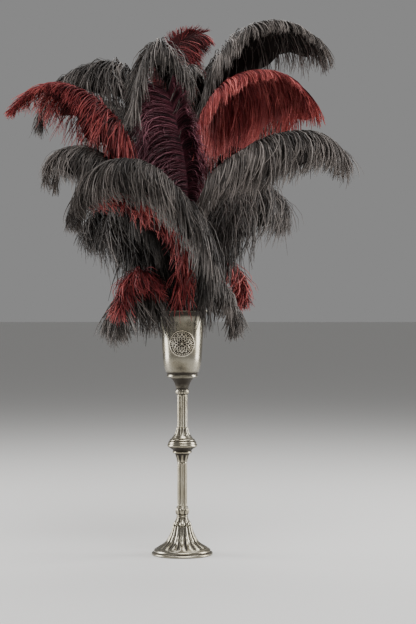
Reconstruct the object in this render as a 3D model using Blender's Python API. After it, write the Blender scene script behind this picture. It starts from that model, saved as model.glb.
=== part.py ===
"""A bouquet of black and dark-red ostrich plumes in a tall goblet vase of antiqued silver finish.

The origin is the centre of the foot's flat underside, +Z is up and -Y faces the viewer.
Values below are in millimetres, and every mesh is written in metres.
"""

import math
from collections import namedtuple

import bmesh
import bpy
import numpy as np

MM = 0.001
TAU = 2 * math.pi

# Driving dimensions of the vase
VASE_HEIGHT = 406.5
RIM_RADIUS = 51.0
FOOT_RADIUS = 51.0
GAP = 0.3  # between pieces that touch in the real vase
FOOT_TOP = 47.6
COLLAR_TOP = 63.6
KNUCKLE_TOP = 80.0
KNOP_BOTTOM = 154.0
KNOP_TOP = 211.0
SOCKET_BOTTOM = 267.0
CUP_BOTTOM = 295.2
CUP_FLOOR = 305.0
WALL = 2.0
STEM_RADIUS = 8.3
REEDS = 8  # ridges round the stems, the collar and the necks of the knop
GADROONS = 16  # ridges round the bell of the foot

# The medallion on the cup's front
MEDALLION_HEIGHT = 352.0
MEDALLION_RADIUS = 22.5
ROSETTE_PETALS = 8

# Driving dimensions of the plumes
QUILL_RADIUS = 1.9
TIP_RADIUS = 0.8
SWELL = 8.0  # length over which the quill widens into the vane
BEND_REACH = 6.0  # the shaft's direction is taken between two points this far to either side
QUILL_FOOT = CUP_FLOOR + 3.0  # the cut ends stand just above the cup's floor
QUILL_RING = 22.0  # they stand in a ring inside the cup
QUILL_PLACES = 23
FIRST_PLACE = -65.0  # degrees round the axis from +X
MOUTH_HEIGHT = VASE_HEIGHT + 4.0
VANE_THICKNESS = 1.5
BARB_LIFT = 0.25  # how far a barb rises off the shaft before it droops
BARB_ANGLES = (72.0, 30.0)  # between barb and shaft, at the vane's start and at its tip
SHOULDER = 0.38  # place along a barb where the vane bends over
NOTCH = 0.78  # length of the notches between two locks of barbs
DROOP_POWER = 0.4  # the lower, the sooner along its length a barb hangs
ANGLE_POWER = 1.3  # how late along the vane its barbs start to point forwards
TIP_STIFFNESS = 0.35  # how much less the barbs hang at the vane's tip
DOWN = np.array((0.0, 0.0, -1.0))


def clear_scene():
    for old in list(bpy.data.objects):
        bpy.data.objects.remove(old)


def make_material(name, colour, roughness, metallic=0.0):
    material = bpy.data.materials.new(name)
    material.use_nodes = True
    shader = material.node_tree.nodes["Principled BSDF"]
    shader.inputs["Base Color"].default_value = (*colour, 1)
    shader.inputs["Roughness"].default_value = roughness
    shader.inputs["Metallic"].default_value = metallic
    material.diffuse_color = (*colour, 1)
    return material


def add_node(name, work, material, sharp_degrees):
    """Makes the bmesh, in millimetres, one named object in metres."""
    bmesh.ops.scale(work, vec=(MM, MM, MM), verts=work.verts)
    mesh = bpy.data.meshes.new(name)
    work.to_mesh(mesh)
    work.free()
    mesh.materials.append(material)
    mesh.shade_smooth()
    mesh.set_sharp_from_angle(angle=math.radians(sharp_degrees))
    node = bpy.data.objects.new(name, mesh)
    bpy.context.scene.collection.objects.link(node)
    return node


# ---------------------------------------------------------------- the vase

Flutes = namedtuple("Flutes", "count bottom top depth")


def turned(name, profile, segments, material, flutes=()):
    """Spins a profile of (radius, height), from one point on the axis to another, and cuts its flutes."""
    work = bmesh.new()
    points = [work.verts.new((radius, 0, height)) for radius, height in profile]
    edges = [work.edges.new(pair) for pair in zip(points, points[1:])]
    bmesh.ops.spin(
        work, geom=points + edges, cent=(0, 0, 0), axis=(0, 0, 1), angle=TAU, steps=segments, use_merge=True
    )
    bmesh.ops.remove_doubles(work, verts=work.verts, dist=0.001)
    bmesh.ops.recalc_face_normals(work, faces=work.faces)
    for flute in flutes:
        cut_flutes(work, flute)
    return add_node(name, work, material, 40)


def cut_flutes(work, flute):
    """Draws the surface in between the ridges, which stand at even angles."""
    for vert in work.verts:
        radius = math.hypot(vert.co.x, vert.co.y)
        if radius > 1 and flute.bottom - 0.01 < vert.co.z < flute.top + 0.01:
            wave = 0.5 - 0.5 * math.cos(flute.count * math.atan2(vert.co.y, vert.co.x))
            shrink = 1 - flute.depth * wave / radius
            vert.co.x *= shrink
            vert.co.y *= shrink


def make_foot(material):
    """The gadrooned bell on its stepped round rim, closed below by one flat face."""
    profile = [
        (0, 0), (50.4, 0), (FOOT_RADIUS, 2.6), (48.2, 4.0), (46.8, 6.8), (40.8, 12.0), (33.0, 17.0),
        (26.4, 23.0), (21.4, 32.0), (16.0, FOOT_TOP), (0, FOOT_TOP),
    ]  # fmt: skip
    return turned("foot", profile, 2 * GADROONS, material, [Flutes(GADROONS, 11.0, FOOT_TOP, 1.3)])


def make_foot_collar(material):
    """The flared collar of petals above the bell."""
    profile = [(0, FOOT_TOP + GAP), (14.0, FOOT_TOP + GAP), (15.4, 50.2), (12.4, 54.5), (10.0, 59.0),
               (8.9, COLLAR_TOP), (0, COLLAR_TOP)]  # fmt: skip
    return turned("foot_collar", profile, 2 * REEDS, material, [Flutes(REEDS, FOOT_TOP, 59.0, 1.5)])


def make_stem_knuckle(material):
    """The reeded bead between the collar and the lower stem."""
    profile = [(0, COLLAR_TOP + GAP), (8.6, COLLAR_TOP + GAP), (10.6, 67.0), (11.3, 71.7), (10.4, 76.4),
               (8.8, KNUCKLE_TOP), (0, KNUCKLE_TOP)]  # fmt: skip
    return turned("stem_knuckle", profile, 2 * REEDS, material, [Flutes(REEDS, 66.0, 77.0, 0.9)])


def make_stem(name, bottom, top, material):
    profile = [(0, bottom + GAP), (STEM_RADIUS, bottom + GAP), (STEM_RADIUS, top - GAP), (0, top - GAP)]
    return turned(name, profile, 2 * REEDS, material, [Flutes(REEDS, bottom, top, 1.2)])


def make_knop(material):
    """The flanged knop half-way up: a reeded trumpet below, a stepped flange and a reeded cone above."""
    profile = [
        (0, KNOP_BOTTOM), (8.6, KNOP_BOTTOM), (11.4, 166.0), (15.0, 173.6), (23.6, 179.4), (24.9, 183.0),
        (22.4, 189.6), (20.2, 191.6), (14.2, 198.8), (9.6, KNOP_TOP), (0, KNOP_TOP),
    ]  # fmt: skip
    flutes = [Flutes(REEDS, KNOP_BOTTOM, 169.0, 1.2), Flutes(REEDS, 198.0, KNOP_TOP, 1.2)]
    return turned("knop", profile, 3 * REEDS, material, flutes)


def make_cup_socket(material):
    """The bead on the upper stem and the trumpet that carries the cup."""
    profile = [
        (0, SOCKET_BOTTOM), (8.8, SOCKET_BOTTOM), (11.3, 269.4), (11.3, 273.0), (10.2, 276.0), (12.0, 282.6),
        (15.4, 289.0), (20.4, CUP_BOTTOM - GAP), (0, CUP_BOTTOM - GAP),
    ]  # fmt: skip
    return turned("cup_socket", profile, 3 * REEDS, material, [Flutes(REEDS, 268.5, 273.5, 0.7)])


CUP_OUTSIDE = [
    (24.6, CUP_BOTTOM), (25.8, 297.8), (25.0, 300.6), (29.4, 310.0), (32.4, 333.0), (35.6, 382.0),
    (37.3, 394.0), (42.4, 403.0),
]  # fmt: skip


def make_cup(material):
    """The open cup: a rounded band at its base, a wall that widens slowly, and a thin flared rim."""
    rim = [(RIM_RADIUS, VASE_HEIGHT - 1.4), (RIM_RADIUS, VASE_HEIGHT)]
    inside = [(radius - WALL, height + 0.6) for radius, height in reversed(CUP_OUTSIDE[3:])]
    floor = [(CUP_OUTSIDE[3][0] - 2 * WALL, CUP_FLOOR), (0, CUP_FLOOR)]
    profile = [(0, CUP_BOTTOM)] + CUP_OUTSIDE + rim + inside + floor
    return turned("cup", profile, 32, material)


def cup_radius(height):
    heights = [point[1] for point in CUP_OUTSIDE]
    radii = [point[0] for point in CUP_OUTSIDE]
    return float(np.interp(height, heights, radii))


def make_medallion(material):
    """A round plaque with a raised border and a rosette, bent to the cup's wall."""
    rings = [(0.0, 1.9), (8.0, 1.2), (16.5, 1.0), (19.0, 1.9), (22.5, 1.5)]
    segments = 3 * ROSETTE_PETALS
    work = bmesh.new()

    def wall_point(radius, angle, rise):
        height = MEDALLION_HEIGHT + radius * math.sin(angle)
        reach = cup_radius(height) + GAP + rise
        round_cup = radius * math.cos(angle) / reach
        return work.verts.new((reach * math.sin(round_cup), -reach * math.cos(round_cup), height))

    def ring_of(radius, rise, petals):
        loop = []
        for step in range(segments):
            angle = TAU * step / segments
            petal = 0.5 + 0.5 * math.cos(ROSETTE_PETALS * angle)
            loop.append(wall_point(radius, angle, rise + petals * petal))
        return loop

    front = [ring_of(radius, rise, 0.9 if 7 < radius < 17 else 0.0) for radius, rise in rings[1:]]
    back = [ring_of(radius, 0.0, 0.0) for radius in (MEDALLION_RADIUS, 15.0, 7.5)]
    loops = front + back
    for inner, outer in zip(loops, loops[1:]):
        for step in range(segments):
            after = (step + 1) % segments
            work.faces.new((inner[step], inner[after], outer[after], outer[step]))
    for loop, rise in ((front[0], rings[0][1]), (back[-1], 0.0)):
        middle = wall_point(0.0, 0.0, rise)
        for step in range(segments):
            work.faces.new((loop[step], loop[(step + 1) % segments], middle))
    bmesh.ops.recalc_face_normals(work, faces=work.faces)
    return add_node("medallion", work, material, 30)


# -------------------------------------------------------------- the plumes

# place: which of the ring's places holds the quill, counted from the front towards +X
# lean: the quill's distance from the axis where it leaves the cup
# bare: length of bare shaft between the cup's mouth and the vane
# shaft: points that the shaft passes after the cup's mouth
# side: direction in degrees that the near half of the vane faces, with -90 at the viewer
# near, far: barb lengths of the two halves, at even steps from the vane's start to its tip
# droop: how fully the barbs of the near and far half hang down by their ends
# locks: locks of barbs along each half
# sweep: how far the near and the far barbs trail towards the plume's tip, each at the vane's start and at its tip
# twist: degrees by which the near side has turned at the tip
Plume = namedtuple("Plume", "name colour place lean bare shaft side near far droop locks sweep twist")

PLUMES = [
    Plume(
        "plume_front_black", "black", 0, 27, 60,
        [(20, -42, 476), (31, -64, 522), (24, -84, 562), (-5, -98, 600), (-34, -108, 630), (-66, -114, 646),
         (-104, -118, 645), (-134, -118, 628), (-154, -112, 600), (-164, -106, 574)],
        -80, (120, 116, 98, 60), (2, 5, 42, 46), (1.0, 0.9), 9, (0, 0.1, 0, 0.1), -60,
    ),
    Plume(
        "plume_front_red", "red", 21, 31, 40,
        [(-2, -38, 470), (0, -50, 520), (-24, -62, 562), (-62, -74, 588), (-104, -80, 602),
         (-134, -82, 594)],
        -95, (62, 48, 60, 40), (2, 5, 26, 22), (1.0, 1.0), 8, (0, 0.1, 0, 0.1), 0,
    ),
    Plume(
        "plume_centre_plum", "plum", 22, 24, 40,
        [(8, -22, 523), (8, -20, 631), (2, -20, 670), (-5, -20, 701), (-13, -20, 737), (-23, -18, 769)],
        180, (12, 22, 120, 70), (10, 14, 54, 36), (0.76, 0.66), 8, (0, 0.0, 0, 0.0), 0,
    ),
    Plume(
        "plume_right_black", "black", 1, 27, 60,
        [(30, -32, 507), (35, -40, 580), (52, -46, 632), (104, -54, 672), (165, -60, 697), (222, -62, 694),
         (250, -60, 674)],
        -90, (12, 70, 120, 72), (12, 36, 110, 76), (1.0, 1.0), 9, (-0.2, 0.0, 0, 0.1), 30,
    ),
    Plume(
        "plume_right_red", "red", 3, 25, 60,
        [(20, -6, 508), (24, -6, 607), (30, -6, 691), (42, -5, 749), (73, 0, 790), (122, 5, 809),
         (168, 8, 803), (194, 8, 785)],
        -90, (14, 20, 30, 50, 44, 30, 18), (10, 8, 8, 40, 176, 150, 80), (1.0, 1.0), 9, (0, 0.2, 0.0, 0.1), 0,
    ),
    Plume(
        "plume_crest_black", "black", 6, 25, 60,
        [(22, 20, 520), (28, 40, 646), (38, 54, 766), (62, 52, 841), (123, 42, 894), (182, 34, 894),
         (224, 28, 868)],
        -90, (12, 12, 14, 60, 60, 34, 30), (12, 12, 14, 70, 146, 134, 66), (1.0, 1.0), 9, (-0.1, 0.1, 0.1, 0.2), 20,
    ),
    Plume(
        "plume_crown_red", "red", 11, 25, 250,
        [(-8, 40, 526), (-18, 68, 680), (-32, 82, 790), (-30, 84, 834), (-14, 84, 862), (8, 82, 878),
         (30, 79, 882)],
        160, (10, 16, 22, 12), (10, 16, 84, 30), (0.5, 0.7), 8, (0, 0.0, 0, 0.0), 0,
    ),
    Plume(
        "plume_arch_black", "black", 10, 25, 60,
        [(1, 20, 525), (4, 36, 678), (7, 42, 770), (8, 34, 812), (8, 10, 814), (8, -6, 780)],
        180, (10, 12, 44, 36), (10, 10, 42, 36), (0.9, 0.9), 7, (0, 0.0, 0, 0.0), 0,
    ),
    Plume(
        "plume_peak_black", "black", 16, 24, 60,
        [(-8, -2, 524), (-11, -2, 674), (-16, -6, 774), (-26, -14, 830), (-42, -24, 850), (-58, -38, 832),
         (-70, -48, 795), (-78, -54, 758)],
        -50, (10, 12, 80, 74), (4, 8, 56, 66), (1.0, 1.0), 8, (0, 0.0, 0, 0.0), 0,
    ),
    Plume(
        "plume_upper_left_black", "black", 14, 25, 60,
        [(-16, 14, 525), (-30, 32, 643), (-52, 46, 746), (-80, 50, 806), (-123, 46, 829), (-174, 40, 816),
         (-214, 34, 786), (-234, 30, 742)],
        -90, (14, 24, 130, 50), (4, 14, 90, 50), (1.0, 1.0), 9, (-0.1, 0.1, 0, 0.1), 0,
    ),
    Plume(
        "plume_left_red", "red", 18, 25, 60,
        [(-20, -16, 507), (-48, -20, 589), (-82, -26, 668), (-115, -34, 728), (-159, -40, 766),
         (-208, -42, 779), (-246, -42, 764), (-272, -40, 742)],
        -90, (12, 12, 14, 76, 64, 26, 30), (12, 14, 20, 80, 126, 80, 30), (1.0, 0.95), 9, (0, 1.0, 0.1, 0.8), 0,
    ),
    Plume(
        "plume_left_black", "black", 19, 27, 60,
        [(-26, -28, 487), (-56, -38, 563), (-92, -44, 623), (-127, -48, 658), (-165, -54, 674),
         (-192, -56, 666), (-204, -56, 646)],
        -90, (12, 20, 82, 42), (12, 20, 80, 42), (1.0, 1.0), 8, (0, 0.2, 0, 0.2), -50,
    ),
    Plume(
        "plume_left_hem_black", "black", 15, 28, 60,
        [(-24, 8, 468), (-48, 20, 516), (-76, 30, 556), (-102, 36, 578), (-124, 38, 580), (-138, 38, 564)],
        -90, (12, 74, 146, 48), (12, 84, 136, 48), (1.0, 1.0), 8, (0, 0, 0, 0), 0,
    ),
    Plume(
        "plume_low_left_black", "black", 17, 32, 34,
        [(-50, -16, 446), (-68, -20, 458), (-82, -20, 450), (-93, -18, 434), (-101, -16, 410)],
        -90, (108, 106, 80, 36), (40, 78, 74, 32), (1.0, 1.0), 6, (0, 0.2, 0, 0.2), -20,
    ),
    Plume(
        "plume_low_left_red", "red", 20, 32, 34,
        [(-36, -44, 440), (-52, -56, 464), (-70, -62, 470), (-84, -64, 454), (-90, -64, 424)],
        -100, (24, 44, 52, 44), (8, 22, 30, 30), (0.9, 0.9), 6, (0, 0, 0, 0), 0,
    ),
    Plume(
        "plume_low_right_black", "black", 2, 32, 34,
        [(40, -32, 438), (54, -40, 452), (68, -44, 446), (78, -44, 422), (81, -42, 398)],
        -90, (50, 66, 66, 46), (20, 30, 50, 44), (0.95, 0.95), 6, (-0.2, 0.2, 0, 0.2), 0,
    ),
    Plume(
        "plume_low_right_red", "red", 4, 30, 40,
        [(44, 16, 452), (58, 46, 484), (74, 66, 490), (90, 76, 468), (96, 80, 434)],
        -90, (14, 50, 74, 36), (20, 40, 60, 32), (0.95, 0.95), 6, (-0.2, 0.2, 0, 0.2), 40,
    ),
    Plume(
        "plume_under_right_black", "black", 5, 27, 60,
        [(34, 20, 483), (56, 56, 540), (86, 86, 592), (116, 108, 620), (144, 124, 616), (158, 132, 592)],
        -90, (16, 90, 150, 64), (14, 60, 120, 60), (1.0, 1.0), 8, (-0.2, 0.0, -0.1, 0.0), 20,
    ),
    Plume(
        "plume_back_right_black", "black", 7, 25, 60,
        [(30, 46, 544), (74, 108, 664), (112, 148, 738), (146, 176, 757), (174, 192, 722)],
        -40, (12, 24, 112, 70), (12, 24, 116, 70), (1.0, 1.0), 6, (0, 0.2, 0, 0.2), 0,
    ),
    Plume(
        "plume_back_red", "red", 8, 25, 60,
        [(8, 58, 561), (8, 112, 686), (16, 156, 776), (28, 186, 800), (40, 208, 766)],
        0, (12, 18, 100, 70), (12, 18, 100, 70), (1.0, 1.0), 6, (0, 0.2, 0, 0.2), 0,
    ),
    Plume(
        "plume_back_low_black", "black", 9, 32, 34,
        [(4, 60, 445), (0, 84, 472), (-1, 114, 482), (-1, 142, 460), (-1, 152, 420)],
        0, (40, 76, 104, 76), (40, 76, 104, 76), (1.0, 1.0), 5, (0, 0.2, 0, 0.2), 0,
    ),
    Plume(
        "plume_back_low_red", "red", 12, 28, 50,
        [(-15, 48, 480), (-32, 96, 550), (-46, 138, 584), (-60, 170, 578), (-70, 184, 538)],
        20, (12, 50, 104, 76), (12, 50, 100, 76), (1.0, 1.0), 6, (0, 0, 0, 0), 0,
    ),
    Plume(
        "plume_back_left_black", "black", 13, 25, 60,
        [(-30, 46, 544), (-66, 106, 670), (-100, 148, 752), (-132, 180, 778), (-156, 198, 744)],
        50, (12, 18, 112, 70), (12, 18, 104, 70), (1.0, 1.0), 6, (0, 0.2, 0, 0.2), 0,
    ),
]


def unit(vector):
    return vector / np.linalg.norm(vector)


def smooth_path(points, steps=24):
    """A smooth curve through the points: one cubic span between each two, on their distances."""
    points = np.array(points, float)
    knots = np.concatenate([[0], np.cumsum(np.linalg.norm(np.diff(points, axis=0), axis=1))])
    slopes = np.gradient(points, knots, axis=0)
    path = []
    for i, length in enumerate(np.diff(knots)):
        for t in np.arange(steps)[:, None] / steps:
            path.append(
                (1 + 2 * t) * (1 - t) ** 2 * points[i]
                + t * (1 - t) ** 2 * length * slopes[i]
                + t**2 * (3 - 2 * t) * points[i + 1]
                + t**2 * (t - 1) * length * slopes[i + 1]
            )
    return np.array(path + [points[-1]])


class Shaft:
    """The shaft's curve, read by the distance from the quill's cut end."""

    def __init__(self, plume):
        angle = math.radians(FIRST_PLACE + 360 * plume.place / QUILL_PLACES)
        foot = (QUILL_RING * math.cos(angle), QUILL_RING * math.sin(angle), QUILL_FOOT)
        mouth = (plume.lean * math.cos(angle), plume.lean * math.sin(angle), MOUTH_HEIGHT)
        self.path = smooth_path([foot, mouth] + plume.shaft)
        self.runs = np.concatenate([[0], np.cumsum(np.linalg.norm(np.diff(self.path, axis=0), axis=1))])
        self.length = self.runs[-1]
        self.mouth = math.dist(foot, mouth)
        self.start = self.mouth + plume.bare
        self.side, self.twist = plume.side, plume.twist
        self.crest_sign = 1
        crests = [self.frame(share * self.length)[3] for share in (0.6, 0.7, 0.8, 0.9)]
        if np.dot(sum(crests), (0, -0.2, 1)) < 0:
            self.crest_sign = -1

    def point(self, run):
        return np.array([np.interp(run, self.runs, self.path[:, axis]) for axis in range(3)])

    def frame(self, run):
        """The point, the direction of growth, the near side and the crest's direction."""
        tangent = unit(self.point(min(run + BEND_REACH, self.length)) - self.point(max(run - BEND_REACH, 0)))
        share = np.clip((run - self.start) / (self.length - self.start), 0, 1)
        turned = math.radians(self.side + self.twist * share**2)
        side = np.array((math.cos(turned), math.sin(turned), 0))
        near = unit(side - np.dot(side, tangent) * tangent)
        crest = np.cross(near, tangent) * self.crest_sign
        return self.point(run), tangent, near, crest


def barb(root, tangent, outward, crest, angle, length, droop, sweep, steps=8):
    """The line of one barb, which leaves the shaft at the angle and bends down under its own weight."""
    fall = unit(DOWN + sweep * tangent * (1, 1, 0))
    start = unit(math.cos(angle) * tangent + math.sin(angle) * outward + BARB_LIFT * crest)
    line = [root]
    for step in range(steps):
        weight = droop * ((step + 0.5) / steps) ** DROOP_POWER
        heading = unit((1 - weight) * start + weight * fall)
        line.append(line[-1] + heading * length / steps)
    return line


def on_line(line, share):
    place = share * (len(line) - 1)
    low = min(int(place), len(line) - 2)
    return line[low] + (place - low) * (line[low + 1] - line[low])


def quill_ring(shaft, run, radius):
    point, _, near, crest = shaft.frame(run)
    angles = [TAU * step / 8 for step in range(8)]
    return [point + radius * (math.cos(angle) * near + math.sin(angle) * crest) for angle in angles]


def vane_ring(plume, shaft, start, share, lock_length):
    """Eight points round the vane: hem, shoulder, ridge, shoulder and hem, then back underneath."""
    run = start + share * (shaft.length - start)
    point, tangent, near, crest = shaft.frame(run)
    radius = QUILL_RADIUS + (TIP_RADIUS - QUILL_RADIUS) * share
    angle = math.radians(BARB_ANGLES[0] + (BARB_ANGLES[1] - BARB_ANGLES[0]) * share**ANGLE_POWER)
    halves = []
    for outward, lengths, droop, sweep in (
        (near, plume.near, plume.droop[0], plume.sweep[:2]),
        (-near, plume.far, plume.droop[1], plume.sweep[2:]),
    ):
        length = lock_length * float(np.interp(share, np.linspace(0, 1, len(lengths)), lengths))
        sweep = sweep[0] + share * (sweep[1] - sweep[0])
        droop = droop * (1 - TIP_STIFFNESS * share**3)
        line = barb(point, tangent, outward, crest, angle, length, droop, sweep)
        bend = on_line(line, SHOULDER)
        skin = 0.5 * VANE_THICKNESS * unit(crest + outward)
        halves.append((line[-1], bend + skin, bend - skin))
    (hem, above, below), (far_hem, far_above, far_below) = halves
    top = point + radius * crest
    bottom = point - radius * crest
    return [hem, above, top, far_above, far_hem, far_below, bottom, below]


def join_rings(work, lower, upper):
    """Joins two rings of eight, with the same diagonals on the vane's top and underneath."""
    steps_to_ridge = (2, 1, 0, 1, 2, 1, 0, 1)
    for step in range(8):
        after = (step + 1) % 8
        if steps_to_ridge[step] > steps_to_ridge[after]:
            work.faces.new((lower[step], lower[after], upper[after]))
            work.faces.new((lower[step], upper[after], upper[step]))
        else:
            work.faces.new((lower[step], lower[after], upper[step]))
            work.faces.new((lower[after], upper[after], upper[step]))


def make_plume(plume, material):
    """One plume, grown as one piece: a bare quill that swells into the vane, whose locks make its hem."""
    shaft = Shaft(plume)
    start = shaft.mouth + plume.bare
    rings = [quill_ring(shaft, run, QUILL_RADIUS) for run in (0, shaft.mouth, start - SWELL)]
    for station in range(2 * plume.locks + 1):
        share = station / (2 * plume.locks)
        rings.append(vane_ring(plume, shaft, start, share, NOTCH if station % 2 == 0 else 1.0))
    work = bmesh.new()
    loops = [[work.verts.new(point) for point in ring] for ring in rings]
    for lower, upper in zip(loops, loops[1:]):
        join_rings(work, lower, upper)
    work.faces.new(loops[0][::-1])
    hem, above, top, far_above, far_hem, far_below, bottom, below = loops[-1]
    work.faces.new((hem, above, below))
    work.faces.new((above, top, bottom, below))
    work.faces.new((top, far_above, far_below, bottom))
    work.faces.new((far_above, far_hem, far_below))
    if work.calc_volume(signed=True) < 0:
        bmesh.ops.reverse_faces(work, faces=work.faces)
    return add_node(plume.name, work, material, 60)


def main():
    clear_scene()
    silver = make_material("antique_silver", (0.50, 0.47, 0.40), 0.34, 1.0)
    colours = {
        "black": make_material("black_plume", (0.030, 0.029, 0.031), 0.85),
        "red": make_material("red_plume", (0.210, 0.018, 0.020), 0.80),
        "plum": make_material("plum_plume", (0.075, 0.014, 0.028), 0.85),
    }
    make_foot(silver)
    make_foot_collar(silver)
    make_stem_knuckle(silver)
    make_stem("lower_stem", KNUCKLE_TOP, KNOP_BOTTOM, silver)
    make_knop(silver)
    make_stem("upper_stem", KNOP_TOP, SOCKET_BOTTOM, silver)
    make_cup_socket(silver)
    make_cup(silver)
    make_medallion(silver)
    for plume in PLUMES:
        make_plume(plume, colours[plume.colour])


main()
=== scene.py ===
# Ostrich plumes in a goblet vase, dressed over their solids.
# The sections follow the object as it is put together: the vase from its foot up, the plumes from the front
# to the back, and then the floor, light and camera. Lengths are millimetres up to that last section, which is
# in metres.
import math
from collections import namedtuple

import bpy
import numpy as np
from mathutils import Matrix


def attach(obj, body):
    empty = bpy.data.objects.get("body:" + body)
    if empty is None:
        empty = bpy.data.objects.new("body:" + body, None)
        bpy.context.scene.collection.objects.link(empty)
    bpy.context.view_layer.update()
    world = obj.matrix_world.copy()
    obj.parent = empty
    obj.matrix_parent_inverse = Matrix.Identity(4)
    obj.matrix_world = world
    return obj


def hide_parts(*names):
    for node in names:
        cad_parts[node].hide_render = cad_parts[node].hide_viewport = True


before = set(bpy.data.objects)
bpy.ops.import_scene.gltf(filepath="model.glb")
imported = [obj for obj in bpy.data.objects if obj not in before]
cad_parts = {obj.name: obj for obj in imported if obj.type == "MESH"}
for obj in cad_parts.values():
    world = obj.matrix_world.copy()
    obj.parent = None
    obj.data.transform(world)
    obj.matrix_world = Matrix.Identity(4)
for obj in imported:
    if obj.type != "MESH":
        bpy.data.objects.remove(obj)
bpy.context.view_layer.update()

MM = 0.001
TAU = 2 * math.pi

# ------------------------------------------------------------------ the foot
# A cast bell on a stepped round rim. Its sixteen gadroons run out just above the rim, and the whole vase is
# silver plate that was blackened and then rubbed, so that it is brown in its recesses and bright on its
# edges.
# Faces that look down are painted darker as well, which is painted shade.


class Wired:
    """A socket in a node tree. Sums on it add Math or Vector Math nodes, and node() adds any other node."""

    def __init__(self, tree, socket=None):
        self.tree = tree
        self.socket = socket

    def feed(self, node, inputs):
        for key, value in inputs.items():
            if isinstance(value, Wired):
                self.tree.links.new(value.socket, node.inputs[key])
            else:
                node.inputs[key].default_value = value

    def node(self, kind, settings=(), inputs=(), out=0):
        made = self.tree.nodes.new(kind)
        for name, value in dict(settings).items():
            if name == "stops":
                for _ in value[2:]:
                    made.color_ramp.elements.new(0.5)
                for element, (place, colour) in zip(made.color_ramp.elements, value):
                    element.position = place
                    element.color = (*colour, 1)
            else:
                setattr(made, name, value)
        self.feed(made, dict(inputs))
        return Wired(self.tree, made.outputs[out])

    def combine(self, operation, first, second):
        kinds = [isinstance(term, tuple) or getattr(term, "is_vector", False) for term in (first, second)]
        if not any(kinds):
            return self.node("ShaderNodeMath", {"operation": operation}, {0: first, 1: second})
        if all(kinds):
            return self.node("ShaderNodeVectorMath", {"operation": operation}, {0: first, 1: second})
        vector, number = (first, second) if kinds[0] else (second, first)
        return self.node("ShaderNodeVectorMath", {"operation": "SCALE"}, {0: vector, "Scale": number})

    @property
    def is_vector(self):
        return self.socket.type == "VECTOR"

    def __add__(self, other):
        return self.combine("ADD", self, other)

    def __sub__(self, other):
        return self.combine("SUBTRACT", self, other)

    def __rsub__(self, other):
        return self.combine("SUBTRACT", other, self)

    def __mul__(self, other):
        return self.combine("MULTIPLY", self, other)

    def __truediv__(self, other):
        return self.combine("DIVIDE", self, other)

    def __pow__(self, other):
        return self.combine("POWER", self, other)

    __radd__ = __add__

    def noise(self, vector, scale, detail):
        """Cloudy noise from 0 to 1, with this many clouds to the metre."""
        return self.node("ShaderNodeTexNoise", {}, {"Vector": vector, "Scale": scale, "Detail": detail})

    def attribute(self, name):
        return self.node("ShaderNodeAttribute", {"attribute_name": name}, out="Fac")

    def ease(self, value, low, high):
        """0 under low, 1 over high, and smooth in between."""
        limits = {"Value": value, "From Min": low, "From Max": high}
        return self.node("ShaderNodeMapRange", {"interpolation_type": "SMOOTHSTEP"}, limits)

    def mix(self, share, first, second):
        return self.node("ShaderNodeMix", {"data_type": "RGBA"}, {0: share, 6: first, 7: second}, out=2)


BRIGHT_PLATE = (0.36, 0.335, 0.272)
BROWN_PATINA = (0.030, 0.024, 0.017)
BLACK_PATINA = (0.012, 0.009, 0.006)
PROFILE_STEPS = 5  # points on each span of a profile
CREASE_REACH = 1.1  # how far the stain spreads from a crease
CREASE_STAIN = (-0.35, 0.8)  # the least, on a sharp edge, and the most, in a sharp crease
# painted shade: faces that look down are darkened this much more, in the same stain as the patina
UNDERSIDE_PAINTED_SHADE = 1.1
POLE_RADIUS = 1.0  # no flute reaches further in
FLUTE_FADE = 1.6  # the length over which a flute runs out
GROOVE_STAIN = 1.15
RIDGE_WEAR = 0.12
WELD_REACH = 0.02
SHARP_ANGLE = 50.0
SMALLEST = 1e-9  # stands for a length of 0 in a division


def linked(name, data):
    """An object that shows this data in the scene."""
    piece = bpy.data.objects.new(name, data)
    bpy.context.scene.collection.objects.link(piece)
    return piece


def applied(piece):
    """The piece's mesh once its modifier is applied."""
    mesh = bpy.data.meshes.new_from_object(piece.evaluated_get(bpy.context.evaluated_depsgraph_get()))
    piece.modifiers.clear()
    piece.data = mesh
    return mesh


def new_material(name):
    material = bpy.data.materials.new(name)
    material.use_nodes = True
    return material, Wired(material.node_tree), material.node_tree.nodes["Principled BSDF"]


def silver(name, bright, patina, roughness, stained):
    """Antiqued plate, stained this much all over and more where its stain attribute is high: patina in
    recesses and painted shade on faces that look down.
    """
    material, plate, shader = new_material(name)
    place = plate.node("ShaderNodeTexCoord", out="Object")
    hollow = plate.attribute("hollow")
    clouds = plate.noise(place, scale=34.0, detail=6.0)
    specks = plate.noise(place, scale=700.0, detail=4.0)
    lathe = plate.noise(place * (60.0, 60.0, 1500.0), scale=1.0, detail=4.0)
    stain = hollow + (clouds - 0.5) * 0.9 + (specks - 0.5) * 0.35 + stained
    aged = plate.ease(stain, 0.12, 0.72)
    yellowed = (bright[0], bright[1] * 0.96, bright[2] * 0.86, 1)
    clean = plate.mix(plate.ease(clouds, 0.3, 0.7), (*bright, 1), yellowed)
    grain = {"Strength": 0.22, "Distance": 0.0004, "Height": specks * 0.6 + lathe * 0.5 + clouds}
    plate.feed(
        shader,
        {
            "Base Color": plate.mix(aged, clean, (*patina, 1)),
            "Metallic": 1.0 - aged * 0.35,
            "Roughness": roughness + aged * 0.34 + (specks - 0.5) * 0.10 + (lathe - 0.5) * 0.10,
            "Normal": plate.node("ShaderNodeBump", {}, grain, out="Normal"),
        },
    )
    return material


def distances(points):
    """How far along the line through these points each of them lies."""
    return np.concatenate([[0], np.cumsum(np.linalg.norm(np.diff(points, axis=0), axis=1))])


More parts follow.
